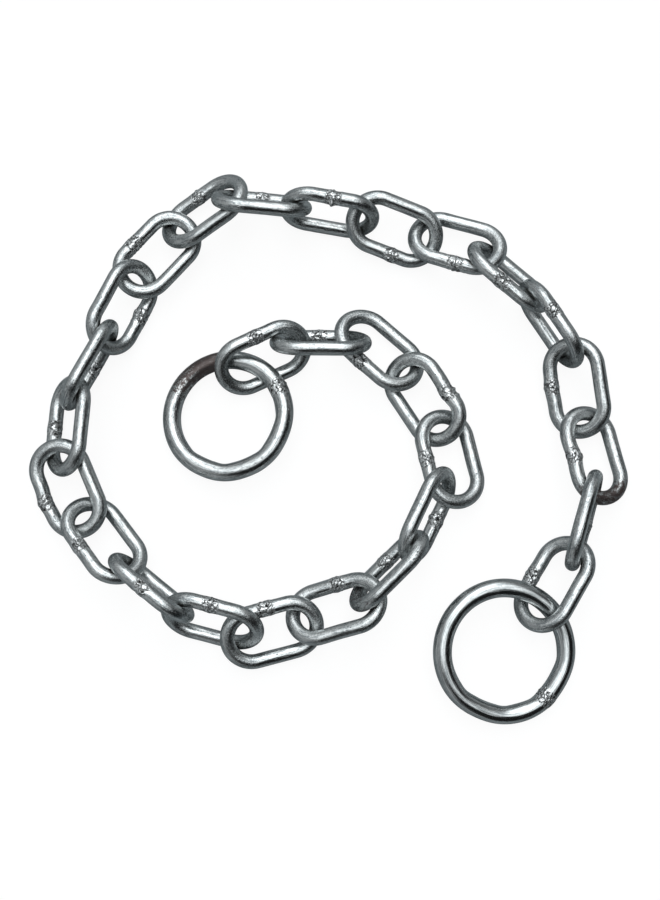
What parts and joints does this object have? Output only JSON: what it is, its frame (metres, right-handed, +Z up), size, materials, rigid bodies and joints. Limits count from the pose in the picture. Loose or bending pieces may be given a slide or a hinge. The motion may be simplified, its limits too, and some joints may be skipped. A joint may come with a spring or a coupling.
{
  "type": "round link chain",
  "caption": "Short welded steel chain with a larger ring at each end, lying in a loose flat spiral.",
  "frame": {"origin": "on the floor, under the middle of the chain's bounding box", "axes": "+X across the spiral towards the side that the outer ring lies on, +Y across the floor away from the outer ring, +Z up"},
  "size_m": [0.2114, 0.1972, 0.0263],
  "materials": {
    "zinc_plate": "bright zinc plating with dark handling marks and shiny crumpled butt welds",
    "tarnished_zinc": "dulled zinc plating, brown over one stretch of the ring"
  },
  "bodies": {
    "root": {"inner_ring": "tarnished_zinc", "link_01": "zinc_plate", "link_02": "zinc_plate", "link_03": "zinc_plate", "link_04": "zinc_plate", "link_05": "zinc_plate", "link_06": "zinc_plate", "link_07": "zinc_plate", "link_08": "zinc_plate", "link_09": "zinc_plate", "link_10": "zinc_plate", "link_11": "zinc_plate", "link_12": "zinc_plate", "link_13": "zinc_plate", "link_14": "zinc_plate", "link_15": "zinc_plate", "link_16": "zinc_plate", "link_17": "zinc_plate", "link_18": "zinc_plate", "link_19": "zinc_plate", "link_20": "zinc_plate", "link_21": "zinc_plate", "link_22": "zinc_plate", "link_23": "zinc_plate", "link_24": "zinc_plate", "link_25": "zinc_plate", "link_26": "zinc_plate", "link_27": "zinc_plate", "link_28": "zinc_plate", "outer_ring": "zinc_plate"}
  },
  "joints": []
}
